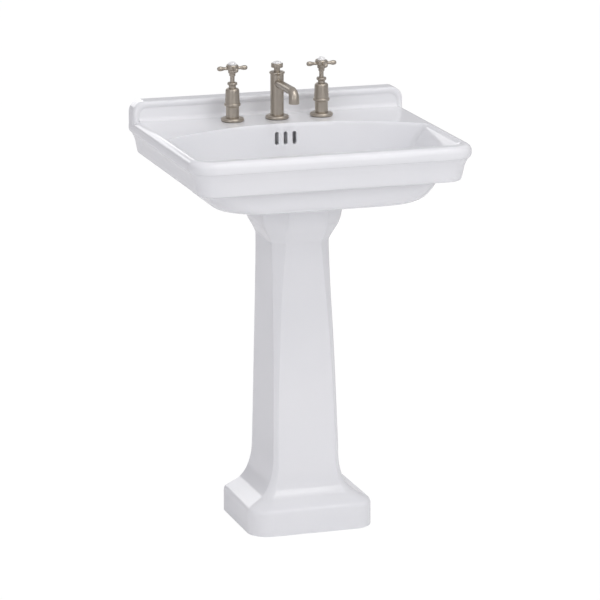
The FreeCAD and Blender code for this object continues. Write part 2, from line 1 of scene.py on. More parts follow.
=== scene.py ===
import json
import math
import bpy
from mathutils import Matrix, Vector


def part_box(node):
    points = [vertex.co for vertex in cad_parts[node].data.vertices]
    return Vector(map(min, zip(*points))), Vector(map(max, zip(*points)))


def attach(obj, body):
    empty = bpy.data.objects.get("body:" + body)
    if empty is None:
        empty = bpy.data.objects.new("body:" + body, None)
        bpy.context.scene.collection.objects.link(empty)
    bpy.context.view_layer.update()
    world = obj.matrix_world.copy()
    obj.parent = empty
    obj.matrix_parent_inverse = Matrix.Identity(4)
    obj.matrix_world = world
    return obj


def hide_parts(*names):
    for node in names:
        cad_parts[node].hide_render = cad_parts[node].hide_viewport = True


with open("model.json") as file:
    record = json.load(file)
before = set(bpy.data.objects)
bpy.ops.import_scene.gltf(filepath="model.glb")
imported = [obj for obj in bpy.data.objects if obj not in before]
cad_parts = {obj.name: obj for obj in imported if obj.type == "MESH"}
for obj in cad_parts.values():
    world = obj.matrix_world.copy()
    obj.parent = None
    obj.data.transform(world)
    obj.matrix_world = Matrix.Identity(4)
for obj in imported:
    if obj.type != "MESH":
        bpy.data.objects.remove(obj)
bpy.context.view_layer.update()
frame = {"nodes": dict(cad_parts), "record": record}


# ------------------------------------------------------------------ studio
# A pale floor with soft lamps at the right, the left, in front and overhead, and a low strip behind that
# draws the bright line along the glazed rims. The lens is long and looks down a little, from the left.
scene = bpy.context.scene
scene.view_settings.view_transform = "Standard"


def aim(thing, at):
    """Turns a lamp or the camera towards a point."""
    ahead = thing.location.copy()
    ahead.x, ahead.y, ahead.z = (at[i] - thing.location[i] for i in range(3))
    thing.rotation_euler = ahead.to_track_quat("-Z", "Y").to_euler()


def lamp(name, place, at, size, watts, colour=(1.0, 1.0, 1.0)):
    """A soft rectangular lamp, itself out of sight, aimed at a point."""
    bpy.ops.object.light_add(type="AREA", location=place)
    light = bpy.context.object
    light.name = name
    light.data.shape = "RECTANGLE"
    light.data.size, light.data.size_y = size
    light.data.energy = watts
    light.data.color = colour
    light.visible_camera = False
    aim(light, at)


middle = (0.0, 0.0, 0.5)
rim_centre = (0.0, 0.0, 0.85)
lamp("key_lamp", (2.2, -3.2, 3.6), middle, (3.2, 3.2), 25, (1.0, 0.985, 0.965))
lamp("fill_lamp", (-3.0, -3.2, 2.2), middle, (2.4, 2.8), 25, (0.97, 0.96, 1.0))
lamp("top_lamp", (0.4, -1.3, 3.8), rim_centre, (2.2, 1.5), 25)
lamp("front_lamp", (0.3, -1.9, 1.25), rim_centre, (0.9, 0.6), 3.6)
lamp("backdrop_lamp", (-0.4, 4.2, 1.9), rim_centre, (2.4, 0.85), 11)

bpy.ops.object.camera_add(location=(-2.2507, -6.9735, 2.3138))
camera = bpy.context.object
aim(camera, (-0.0006, 0.0, 0.4882))
camera.data.sensor_width = 36.0
camera.data.lens = 212.7
scene.camera = camera

# the air reflects a little darker low down than overhead, and is plain white to the lens itself
world = bpy.data.worlds.new("studio_air")
scene.world = world
world.use_nodes = True
air = world.node_tree
sky = air.nodes["Background"]
sky.inputs["Color"].default_value = (0.82, 0.81, 0.845, 1)
compass = air.nodes.new("ShaderNodeTexCoord")
upward = air.nodes.new("ShaderNodeSeparateXYZ")
dusk = air.nodes.new("ShaderNodeMapRange")
dusk.inputs["From Min"].default_value = 0.0
dusk.inputs["From Max"].default_value = 0.6
dusk.inputs["To Min"].default_value = 0.42
dusk.inputs["To Max"].default_value = 0.74
air.links.new(compass.outputs["Generated"], upward.inputs[0])
air.links.new(upward.outputs["Z"], dusk.inputs["Value"])
air.links.new(dusk.outputs["Result"], sky.inputs["Strength"])
seen = air.nodes.new("ShaderNodeBackground")
seen.inputs["Color"].default_value = (1, 1, 1, 1)
seen.inputs["Strength"].default_value = 1.0
ray = air.nodes.new("ShaderNodeLightPath")
either = air.nodes.new("ShaderNodeMixShader")
air.links.new(ray.outputs["Is Camera Ray"], either.inputs[0])
air.links.new(sky.outputs[0], either.inputs[1])
air.links.new(seen.outputs[0], either.inputs[2])
air.links.new(either.outputs[0], air.nodes["World Output"].inputs["Surface"])


def plain_finish(name, roughness=0.5, metallic=0.0):
    """A new material and its shader node."""
    finish = bpy.data.materials.new(name)
    finish.use_nodes = True
    shader = finish.node_tree.nodes["Principled BSDF"]
    shader.inputs["Roughness"].default_value = roughness
    shader.inputs["Metallic"].default_value = metallic
    return finish, shader


# the floor is painted near-white, and glows white to the lens so that no horizon shows
bpy.ops.object.select_all(action="DESELECT")
bpy.ops.mesh.primitive_plane_add(size=60, location=(0, 0, -0.0005))
floor = bpy.context.object
floor.name = "studio_floor"
floor_paint, floor_shader = plain_finish("floor_paint", 0.9)
floor_shader.inputs["Base Color"].default_value = (0.93, 0.93, 0.93, 1)
paint = floor_paint.node_tree
glow = paint.nodes.new("ShaderNodeEmission")
glow.inputs["Strength"].default_value = 1.02
paler = paint.nodes.new("ShaderNodeMixShader")
share = paint.nodes.new("ShaderNodeMath")
share.operation = "MULTIPLY"
share.inputs[1].default_value = 0.97
floor_ray = paint.nodes.new("ShaderNodeLightPath")
paint.links.new(floor_ray.outputs["Is Camera Ray"], share.inputs[0])
paint.links.new(share.outputs[0], paler.inputs[0])
paint.links.new(floor_shader.outputs[0], paler.inputs[1])
paint.links.new(glow.outputs[0], paler.inputs[2])
paint.links.new(paler.outputs[0], paint.nodes["Material Output"].inputs["Surface"])
floor.data.materials.append(floor_paint)


# ------------------------------------------------------------------ glaze
# Vitreous china under a thick white glaze: nearly flat, with a very slow ripple where the glaze pooled
# in the kiln and a fine orange-peel, and a slightly cooler white where the coat is thicker.
def group_of(name, inputs, outputs):
    """An empty shader group with named number and colour sockets."""
    group = bpy.data.node_groups.new(name, "ShaderNodeTree")
    for label, kind in inputs:
        group.interface.new_socket(name=label, in_out="INPUT", socket_type=kind)
    for label, kind in outputs:
        group.interface.new_socket(name=label, in_out="OUTPUT", socket_type=kind)
    return group, group.nodes.new("NodeGroupInput"), group.nodes.new("NodeGroupOutput")


NUMBER, COLOUR = "NodeSocketFloat", "NodeSocketColor"
looks = [("Colour", COLOUR), ("Roughness", NUMBER), ("Height", NUMBER)]
coats = [("Thin coat", COLOUR), ("Thick coat", COLOUR), ("Size", NUMBER)]
glazing, into, out = group_of("kiln_glaze", coats, looks)
place = glazing.nodes.new("ShaderNodeTexCoord")
pool = glazing.nodes.new("ShaderNodeTexNoise")
pool.inputs["Detail"].default_value = 2.0
peel = glazing.nodes.new("ShaderNodeTexNoise")
peel.inputs["Scale"].default_value = 420.0
peel.inputs["Detail"].default_value = 1.0
coat = glazing.nodes.new("ShaderNodeMix")
coat.data_type = "RGBA"
gloss = glazing.nodes.new("ShaderNodeMapRange")
gloss.inputs["To Min"].default_value = 0.045
gloss.inputs["To Max"].default_value = 0.10
relief = glazing.nodes.new("ShaderNodeMath")
relief.operation = "MULTIPLY_ADD"
relief.inputs[1].default_value = 0.12
link = glazing.links.new
link(place.outputs["Object"], pool.inputs["Vector"])
link(place.outputs["Object"], peel.inputs["Vector"])
link(into.outputs["Size"], pool.inputs["Scale"])
link(pool.outputs["Fac"], coat.inputs["Factor"])
link(into.outputs["Thin coat"], coat.inputs["A"])
link(into.outputs["Thick coat"], coat.inputs["B"])
link(pool.outputs["Fac"], gloss.inputs["Value"])
link(peel.outputs["Fac"], relief.inputs[0])
link(pool.outputs["Fac"], relief.inputs[2])
link(coat.outputs["Result"], out.inputs["Colour"])
link(gloss.outputs["Result"], out.inputs["Roughness"])
link(relief.outputs[0], out.inputs["Height"])


def finish_from(name, group, values, depth, metallic=0.0):
    """A material whose colour, roughness and relief come from a shader group; depth is in metres."""
    finish, shader = plain_finish(name, metallic=metallic)
    tree = finish.node_tree
    worked = tree.nodes.new("ShaderNodeGroup")
    worked.node_tree = group
    for label, value in values.items():
        worked.inputs[label].default_value = value
    bump = tree.nodes.new("ShaderNodeBump")
    bump.inputs["Strength"].default_value = 0.6
    bump.inputs["Distance"].default_value = depth
    tree.links.new(worked.outputs["Colour"], shader.inputs["Base Color"])
    tree.links.new(worked.outputs["Roughness"], shader.inputs["Roughness"])
    tree.links.new(worked.outputs["Height"], bump.inputs["Height"])
    tree.links.new(bump.outputs["Normal"], shader.inputs["Normal"])
    return finish


# thin coat, thick coat, size of the pooling and depth of the ripple in metres
glazed_values = {"white_glaze": ((0.86, 0.86, 0.87, 1), (0.81, 0.82, 0.84, 1), 5.0, 0.00012),
                 "white_index": ((0.90, 0.90, 0.89, 1), (0.85, 0.85, 0.85, 1), 90.0, 0.00002)}
finishes = {}
for name, (thin, thick, size, depth) in glazed_values.items():
    values = {"Thin coat": thin, "Thick coat": thick, "Size": size}
    finishes[name] = finish_from(name, glazing, values, depth)


# ------------------------------------------------------------------ basin
# One slip-cast piece of vitreous china: rim moulding, deck, bowl with its curved back, low upstand along
# the wall, and the overflow passage behind the bowl. It is fired with a white glaze and bolted to the wall.
basin_low, basin_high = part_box("basin")
WALL = basin_high[1]
UPSTAND = 42.5
RIM = basin_high[2] * 1000 - UPSTAND
HALF = basin_high[0] * 1000
DEPTH = (basin_high[1] - basin_low[1]) * 1000
CORNER, SKIRT_WALL, BACK_WALL = 50.0, 33.0, 16.0
SIDE_RIM, FRONT_RIM = 15.0, 30.0
BOWL_BACK, BACK_RADIUS, BACK_CORNER = -150.0, 480.0, 10.6
BOWL_FLOOR, DRAIN = RIM - 119.5, -225.0
TAP_LINE, TAP_SPACING = -93.0, 100.0
SLOT_HALF, SLOT_REACH, SLOT_SPACING, SLOT_DROP = 4.5, 9.5, 19.8, 31.5
UPSTAND_CORNER, COVE = 26.0, 9.0


def mm(value):
    """Millimetres as the scene's metres."""
    return value / 1000.0


def edit():
    bpy.ops.object.mode_set(mode="EDIT")


def leave():
    bpy.ops.object.mode_set(mode="OBJECT")


def pick(piece, test):
    """Selects the points of the active piece for which test(point) is true, and goes into edit mode."""
    leave()
    mesh = piece.data
    for things in (mesh.vertices, mesh.edges, mesh.polygons):
        things.foreach_set("select", [False] * len(things))
    mesh.vertices.foreach_set("select", [bool(test(point)) for point in mesh.vertices])
    edit()
    bpy.ops.mesh.select_mode(type="VERT")


def only(*pieces):
    """Leaves just these pieces selected, the first of them active."""
    bpy.ops.object.select_all(action="DESELECT")
    for piece in pieces:
        piece.select_set(True)
    bpy.context.view_layer.objects.active = pieces[0]


def settle(piece, name=None):
    """Puts a piece's place into its mesh."""
    leave()
    only(piece)
    bpy.ops.object.transform_apply(location=True, rotation=True, scale=True)
    if name:
        piece.name = name
        piece.data.name = name
    return piece


def outline(half, back, front, z, cut, bow=0.5, steps=8):
    """A rectangular ring at height z with its two front corners cut back; mm from the wall and floor."""
    bpy.ops.object.select_all(action="DESELECT")
    centre = (0, WALL + mm(back + front) / 2, mm(z))
    bpy.ops.mesh.primitive_plane_add(size=2, location=centre)
    ring = bpy.context.object
    edit()
    bpy.ops.transform.resize(value=(mm(half), mm(back - front) / 2, 1), center_override=centre)
    settle(ring)
    pick(ring, lambda point: point.co.y < centre[1])
    bpy.ops.mesh.bevel(affect="VERTICES", offset=mm(cut), segments=steps, profile=bow)
    bpy.ops.mesh.select_all(action="SELECT")
    bpy.ops.mesh.delete(type="ONLY_FACE")
    leave()
    return ring


def bowl_outline(wider, longer, corner, depth):
    """The bowl's ring at a depth below the rim: its back is an arc and its front corners are rounded."""
    half, front = HALF - SIDE_RIM + wider, -DEPTH + FRONT_RIM - longer
    bulge = BOWL_BACK + 0.25 * longer
    swing = math.asin(half / BACK_RADIUS)
    side = bulge - BACK_RADIUS * (1 - math.cos(swing))
    ring = outline(half, side, front, RIM - depth, corner)
    back_y = WALL + mm(side)
    pick(ring, lambda point: abs(point.co.y - back_y) < 1e-5)
    bpy.ops.mesh.delete(type="EDGE_FACE")
    pick(ring, lambda point: abs(point.co.y - back_y) < 1e-5 and point.co.x > 0)
    centre = (0, WALL + mm(bulge - BACK_RADIUS), mm(RIM - depth))
    bpy.ops.mesh.spin(steps=22, angle=-2 * swing, center=centre, axis=(0, 0, 1))
    bpy.ops.mesh.select_all(action="SELECT")
    bpy.ops.mesh.remove_doubles(threshold=1e-5)
    pick(ring, lambda point: abs(point.co.y - back_y) < 2e-5 and abs(abs(point.co.x) - mm(half)) < 2e-5)
    bpy.ops.mesh.bevel(affect="VERTICES", offset=mm(BACK_CORNER), segments=5, profile=0.5)
    leave()
    return ring


def skin(rings, name, closed=False, lids=False):
    """Joins rings into one mesh and bridges each to the next; lids close the first and the last."""
    for number, ring in enumerate(rings):
        turn = ring.data.attributes.new("turn", "INT", "POINT")
        turn.data.foreach_set("value", [number] * len(ring.data.vertices))
    only(*rings)
    bpy.ops.object.join()
    piece = bpy.context.object
    last = len(rings) - 1
    turns = [entry.value for entry in piece.data.attributes["turn"].data]
    for pair in [(step, step + 1) for step in range(last)] + ([(last, 0)] if closed else []):
        pick(piece, lambda point: turns[point.index] in pair)
        bpy.ops.mesh.bridge_edge_loops()
    for end in (0, last) if lids else ():
        pick(piece, lambda point: turns[point.index] == end)
        bpy.ops.mesh.edge_face_add()
    leave()
    piece.data.attributes.remove(piece.data.attributes["turn"])
    edit()
    bpy.ops.mesh.select_all(action="SELECT")
    bpy.ops.mesh.normals_make_consistent(inside=False)
    return settle(piece, name)


def faired(points, between=2):
    """A smooth run through points, as a draughtsman's spline."""
    run = []
    for i in range(len(points) - 1):
        a, b = points[max(i - 1, 0)], points[i]
        c, d = points[i + 1], points[min(i + 2, len(points) - 1)]
        for step in range(between + 1):
            t = step / (between + 1)
            run.append(tuple(0.5 * (2 * q + (r - p) * t + (2 * p - 5 * q + 4 * r - s) * t * t
                                    + (3 * q - p - 3 * r + s) * t ** 3) for p, q, r, s in zip(a, b, c, d)))
    return run + [points[-1]]


# inset and depth below the rim, from under the fascia up over the cove and the roll to the deck
rim_moulding = [(24, 77), (21.2, 75.6), (19.6, 73), (18, 67), (16, 57), (14, 47), (12.2, 42), (10.2, 37),
                (8.2, 33), (6.5, 30), (4.5, 28), (4.4, 27), (2.2, 26), (0.6, 23), (0, 19), (0, 13),
                (0.8, 9), (3, 5), (6.4, 2), (10.5, 0.4), (14, 0)]
# growth at the sides, growth at the front, corner radius and depth below the rim
bowl_inside = [(0, 2, 34, 0), (-2.5, -1, 34, 1.2), (-6, -4.5, 34, 4), (-10, -8, 35, 9), (-22, -14, 38, 32),
               (-32, -20, 44, 52), (-49, -28, 52, 77), (-58, -32, 56, 90), (-68, -37, 60, 103),
               (-80, -48, 62, 111), (-104, -75, 60, 115.5), (-145, -120, 50, 118), (-150, -125, 50, 119.5)]
bowl_outside = [(8, 12, 40, 6), (6, 9, 42, 14), (-7, 4, 46, 32), (-19, -2, 52, 52), (-37, -13, 60, 77),
                (-43.5, -15, 66, 92), (-51.5, -17, 72, 106), (-59, -20, 80, 117), (-69, -26, 88, 125),
                (-91, -48, 84, 130), (-118, -80, 72, 131.5), (-170, -150, 50, 132)]


def cut_or_weld(piece, tool, operation):
    """Cuts a tool out of a piece, or welds it on, and takes the tool away."""
    only(piece)
    change = piece.modifiers.new("change", "BOOLEAN")
    change.operation = operation
    change.object = tool
    change.solver = "EXACT"
    bpy.ops.object.modifier_apply(modifier=change.name)
    bpy.data.objects.remove(tool)


def block(x0, x1, y0, y1, z0, z1, ease=0.0):
    """A block between limits in mm, its edges eased."""
    bpy.ops.object.select_all(action="DESELECT")
    centre = (mm(x0 + x1) / 2, WALL + mm(y0 + y1) / 2, mm(z0 + z1) / 2)
    bpy.ops.mesh.primitive_cube_add(size=1, location=centre)
    made = bpy.context.object
    edit()
    bpy.ops.transform.resize(value=(mm(x1 - x0), mm(y1 - y0), mm(z1 - z0)), center_override=centre)
    if ease:
        bpy.ops.mesh.bevel(offset=mm(ease), segments=3)
    return settle(made)


def peg(radius, start, along, length, steps=40):
    """A round cutter in mm from a start point along one axis."""
    bpy.ops.object.select_all(action="DESELECT")
    turn = {"x": (0, math.pi / 2, 0), "y": (math.pi / 2, 0, 0), "z": (0, 0, 0)}[along]
    x, y, z = [start[i] + (length / 2 if "xyz"[i] == along else 0) for i in range(3)]
    bpy.ops.mesh.primitive_cylinder_add(vertices=steps, radius=mm(radius), depth=mm(length), rotation=turn,
                                        location=(mm(x), WALL + mm(y), mm(z)))
    return settle(bpy.context.object)


# the rim is a hollow skirt; the bowl's wall, the overflow passage, its duct and the waste boss hang in it
basin = skin([outline(HALF - inset, 0, -DEPTH + inset, RIM - depth, CORNER - 0.8 * inset)
              for inset, depth in rim_moulding], "basin_ware", lids=True)
hollow = skin([outline(HALF - SKIRT_WALL, -BACK_WALL, -DEPTH + SKIRT_WALL, RIM - depth, 24)
               for depth in (80, 16)], "hollow", lids=True)
cut_or_weld(basin, hollow, "DIFFERENCE")
bowl_wall = skin([bowl_outline(*row) for row in faired(bowl_outside, 1)], "bowl_wall", lids=True)
cut_or_weld(basin, bowl_wall, "UNION")
cut_or_weld(basin, block(-36, 36, -164, -120, BOWL_FLOOR - 31.5, RIM - 8, 5), "UNION")
cut_or_weld(basin, block(-30, 30, DRAIN + 6, -121, BOWL_FLOOR - 31, BOWL_FLOOR - 6, 4), "UNION")
cut_or_weld(basin, peg(42, (0, DRAIN, BOWL_FLOOR - 32), "z", 31, 64), "UNION")


def upstand_outline(inset, y):
    """The upstand's front elevation as a ring standing at y, its two top corners rounded."""
    bpy.ops.object.select_all(action="DESELECT")
    low, high = RIM - 10, RIM + UPSTAND - inset
    centre = (0, WALL + mm(y), mm(low + high) / 2)
    bpy.ops.mesh.primitive_plane_add(size=2, location=centre, rotation=(math.pi / 2, 0, 0))
    ring = settle(bpy.context.object)
    edit()
    bpy.ops.mesh.select_all(action="SELECT")
    bpy.ops.transform.resize(value=(mm(HALF - inset), 1, mm(high - low) / 2), center_override=centre)
    pick(ring, lambda point: point.co.z > centre[2])
    bpy.ops.mesh.bevel(affect="VERTICES", offset=mm(UPSTAND_CORNER - 0.6 * inset), segments=10, profile=0.5)
    bpy.ops.mesh.select_all(action="SELECT")
    bpy.ops.mesh.delete(type="ONLY_FACE")
    leave()
    return ring


# inset and distance from the wall: square back, rolled front edge, then the sunk front panel
upstand_roll = [(1.5, 0), (0, -2), (0, -32), (0.3, -35), (1.3, -37.6), (3.2, -39.4), (6, -40), (9, -39.6),
                (11.6, -38.3), (13.2, -36.8), (15, -36)]
upstand = skin([upstand_outline(inset, y) for inset, y in upstand_roll], "upstand", lids=True)
cut_or_weld(basin, upstand, "UNION")
cove = block(14 - HALF, HALF - 14, -36 - COVE, -35, RIM - 2, RIM + COVE)
cut_or_weld(cove, peg(COVE, (5 - HALF, -36 - COVE, RIM + COVE), "x", 2 * HALF - 10, 48), "DIFFERENCE")
cut_or_weld(basin, cove, "UNION")
bowl_rows = [(1.5, 3, 34, -3)] + faired(bowl_inside)
bowl_room = skin([bowl_outline(*row) for row in bowl_rows], "bowl_room", lids=True)
cut_or_weld(basin, bowl_room, "DIFFERENCE")

# the overflow channel and its three slots, the tap holes, the two wall fixings and the waste's seat
cut_or_weld(basin, block(-28, 28, -147, -126, BOWL_FLOOR - 24, RIM - 14), "DIFFERENCE")
for number in (-1, 0, 1):
    slot_x, slot_z = SLOT_SPACING * number, RIM - SLOT_DROP
    slot = block(slot_x - SLOT_HALF, slot_x + SLOT_HALF, -175, -130,
                 slot_z - SLOT_REACH, slot_z + SLOT_REACH)
    cut_or_weld(basin, slot, "DIFFERENCE")
    for end in (-SLOT_REACH, SLOT_REACH):
        cut_or_weld(basin, peg(SLOT_HALF, (slot_x, -175, slot_z + end), "y", 45, 24), "DIFFERENCE")
    cut_or_weld(basin, peg(14.5, (TAP_SPACING * number, TAP_LINE, RIM - 30), "z", 45), "DIFFERENCE")
for side in (-1, 1):
    cut_or_weld(basin, peg(6.5, (side * 0.46 * HALF, -30, RIM - 48), "y", 40), "DIFFERENCE")
for radius, low in ((22.5, -40), (33.5, -4)):
    cut_or_weld(basin, peg(radius, (0, DRAIN, BOWL_FLOOR + low), "z", 6 - low, 64), "DIFFERENCE")


def dress(piece, slot, body, node, angle=35):
    """Smooths a piece, gives it the finish of its slot, hangs it on the body it rides on, and hides the part
    it stands for.
    """
    leave()
    only(piece)
    bpy.ops.object.shade_smooth_by_angle(angle=math.radians(angle))
    flats = piece.modifiers.new("flats", "WEIGHTED_NORMAL")
    flats.keep_sharp = True
    bpy.ops.object.modifier_apply(modifier=flats.name)
    piece.data.materials.clear()
    piece.data.materials.append(finishes[slot])
    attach(piece, body)
    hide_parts(node)


dress(basin, "white_glaze", "sink", "basin", angle=32)


# ------------------------------------------------------------------ pedestal
# A slip-cast hollow column of the same glazed ware, open at the back over the waste and pipes. Its plinth
# has canted front corners and a cove, and the shaft swells to an upright capital under the basin.
PED_BACK, PED_TOP, PED_WALL = -140.0, 719.7, 11.0
# height, half width, front, corner cut, corner bow
pedestal_sections = [(-4, 138, -358, 45, 0.5), (16, 138, -358, 45, 0.5), (34, 138, -358, 45, 0.5),
                     (47, 138, -358, 45, 0.5), (53, 136.5, -356.5, 44, 0.5), (57, 133, -353, 42, 0.49),
                     (64, 119, -339, 33, 0.46), (71, 105, -325, 24, 0.43), (76, 99, -320, 21, 0.4),
                     (87, 90, -315, 18, 0.36), (100, 83.5, -310.5, 15, 0.32), (118, 77.5, -306.5, 12, 0.29),
                     (140, 74, -304, 10.5, 0.27), (185, 72.7, -302, 9.5, 0.27),
                     (310, 69.7, -295, 10.3, 0.27), (420, 67.2, -288, 13, 0.27),
                     (500, 65.4, -281, 17, 0.27), (570, 64.2, -279, 22, 0.27), (612, 64, -278.8, 26, 0.27),
                     (621, 65.5, -280.4, 27, 0.27), (634, 72, -288, 31, 0.27),
                     (648, 80, -298.5, 38, 0.27), (662, 86, -307, 44, 0.27), (676, 89, -311, 47, 0.27),
                     (690, 91, -314, 49, 0.27), (706, 92.5, -316, 50, 0.27),
                     (PED_TOP, 94, -318, 52, 0.27), (725, 94.5, -318.6, 52.5, 0.27)]
pedestal = skin([outline(half, PED_BACK, front, z, cut, bow, 10)
                 for z, half, front, cut, bow in faired(pedestal_sections, 1)], "pedestal_ware")
open_y = WALL + mm(PED_BACK)
pick(pedestal, lambda point: abs(point.co.y - open_y) < 1e-5)
bpy.ops.mesh.delete(type="ONLY_FACE")
bpy.ops.mesh.select_all(action="SELECT")
bpy.ops.mesh.delete_loose(use_verts=False, use_edges=True, use_faces=False)
settle(pedestal)
wall_of_ware = pedestal.modifiers.new("wall", "SOLIDIFY")
wall_of_ware.thickness = mm(PED_WALL)
wall_of_ware.offset = -1.0
wall_of_ware.use_even_offset = True
bpy.ops.object.modifier_apply(modifier="wall")
edit()
for height, outward in ((0.0, -1), (PED_TOP, 1)):
    bpy.ops.mesh.select_all(action="SELECT")
    bpy.ops.mesh.bisect(plane_co=(0, 0, mm(height)), plane_no=(0, 0, outward), clear_outer=True,
                        use_fill=True)
settle(pedestal)
for side in (-1, 1):
    lug = block(side * 108 - 20, side * 108 + 20, -179, -140.2, 0, 14, 1.5)
    cut_or_weld(lug, peg(3.5, (side * 106, -160, -2), "z", 20, 24), "DIFFERENCE")
    cut_or_weld(pedestal, lug, "UNION")
dress(pedestal, "white_glaze", "sink", "pedestal", angle=40)


# ------------------------------------------------------------------ metal, plastic and rubber finishes
# The tap is turned brass under brushed nickel, its hidden fittings are bare turned brass and satin steel,
# and the trap is moulded in white plastic with rubber washers.
tooling = [("Bright", COLOUR), ("Dull", COLOUR), ("Lines", NUMBER), ("Smooth", NUMBER), ("Rough", NUMBER)]
working, into, out = group_of("turned_lines", tooling, looks)
place = working.nodes.new("ShaderNodeTexCoord")
stretch = working.nodes.new("ShaderNodeMapping")
stretch.inputs["Scale"].default_value = (0.06, 0.06, 1.0)
lines = working.nodes.new("ShaderNodeTexNoise")
lines.inputs["Detail"].default_value = 4.0
blotch = working.nodes.new("ShaderNodeTexNoise")
blotch.inputs["Scale"].default_value = 34.0
tint = working.nodes.new("ShaderNodeMix")
tint.data_type = "RGBA"
matt = working.nodes.new("ShaderNodeMapRange")
link = working.links.new
link(place.outputs["Object"], stretch.inputs["Vector"])
link(stretch.outputs["Vector"], lines.inputs["Vector"])
link(place.outputs["Object"], blotch.inputs["Vector"])
link(into.outputs["Lines"], lines.inputs["Scale"])
link(blotch.outputs["Fac"], tint.inputs["Factor"])
link(into.outputs["Bright"], tint.inputs["A"])
link(into.outputs["Dull"], tint.inputs["B"])
link(lines.outputs["Fac"], matt.inputs["Value"])
link(into.outputs["Smooth"], matt.inputs["To Min"])
link(into.outputs["Rough"], matt.inputs["To Max"])
link(tint.outputs["Result"], out.inputs["Colour"])
link(matt.outputs["Result"], out.inputs["Roughness"])
link(lines.outputs["Fac"], out.inputs["Height"])

# bright and dull colour, fineness of the tool lines, smoothest and roughest
metal_values = {"brushed_nickel": ((0.50, 0.452, 0.385, 1), (0.43, 0.385, 0.325, 1), 2600.0, 0.27, 0.42),
                "plain_brass": ((0.78, 0.60, 0.30, 1), (0.66, 0.48, 0.22, 1), 1800.0, 0.20, 0.45),
                "stainless": ((0.62, 0.62, 0.61, 1), (0.52, 0.52, 0.52, 1), 2200.0, 0.22, 0.42)}
for name, (bright, dull, scale, smooth, rough) in metal_values.items():
    finishes[name] = finish_from(name, working, {"Bright": bright, "Dull": dull, "Lines": scale,
                                 "Smooth": smooth, "Rough": rough}, 0.00002, metallic=1.0)
moulded_values = {"white_plastic": ((0.82, 0.82, 0.80, 1), (0.76, 0.76, 0.74, 1), 900.0, 0.34, 0.50),
                  "black_rubber": ((0.035, 0.035, 0.035, 1), (0.055, 0.053, 0.05, 1), 1500.0, 0.65, 0.85)}
for name, (light, dark, scale, smooth, rough) in moulded_values.items():
    finishes[name] = finish_from(name, working, {"Bright": light, "Dull": dark, "Lines": scale,
                                 "Smooth": smooth, "Rough": rough}, 0.00004)
for subpart in frame["record"]["subparts"]:
    node = frame["nodes"][subpart["node"]]
    for number in range(len(node.material_slots)):
        node.material_slots[number].material = finishes[subpart["material_slot"]]


# ------------------------------------------------------------------ side valves
# Each valve shows a rolled flange on the deck, a plain sleeve with a bead, a tapered bell and a gland
# nut, all turned from brass and nickel plated. Only the cross handle and its spindle turn.
def turned(name, profile, x, ease=0.3, closed=True, around=72):
    """A piece turned about the upright line at x; the profile is radius and height above the rim, mm."""
    bpy.ops.object.select_all(action="DESELECT")
    start = (mm(x + profile[0][0]), WALL + mm(TAP_LINE), mm(RIM + profile[0][1]))
    bpy.ops.mesh.primitive_plane_add(size=0.001, location=start)
    made = bpy.context.object
    edit()
    bpy.ops.mesh.merge(type="CENTER")
    for here, there in zip(profile, profile[1:] + (profile[:1] if closed else [])):
        step = (mm(there[0] - here[0]), 0, mm(there[1] - here[1]))
        bpy.ops.mesh.extrude_region_move(TRANSFORM_OT_translate={"value": step})
    bpy.ops.mesh.select_all(action="SELECT")
    bpy.ops.mesh.remove_doubles(threshold=1e-6)
    settle(made)
    edit()
    if ease:
        pick(made, lambda point: abs(point.co.x - mm(x)) > 1e-4)
        bpy.ops.mesh.bevel(affect="VERTICES", offset=mm(ease), segments=2)
    bpy.ops.mesh.select_all(action="SELECT")
    bpy.ops.mesh.spin(steps=around, angle=2 * math.pi, center=(mm(x), WALL + mm(TAP_LINE), 0),
                      axis=(0, 0, 1))
    bpy.ops.mesh.select_all(action="SELECT")
    bpy.ops.mesh.remove_doubles(threshold=1e-6)
    bpy.ops.mesh.delete_loose()
    bpy.ops.mesh.select_all(action="SELECT")
    bpy.ops.mesh.normals_make_consistent(inside=False)
    return settle(made, name)


def flange(name, bore, x):
    """A rolled flange that stands on the deck around a bore."""
    roll = [(9.4, 0), (10.4, 1.2), (10.8, 3), (10.4, 4.9), (9.2, 6.4), (7.2, 7.4), (4.6, 7.6), (1.6, 7.2)]
    shape = [(bore, 0.8)] + [(bore + out_by, 0.8 + up) for out_by, up in faired(roll, 2)] + [(bore, 8.0)]
    return turned(name, shape, x, ease=0)


ARM_LINE = 114.5
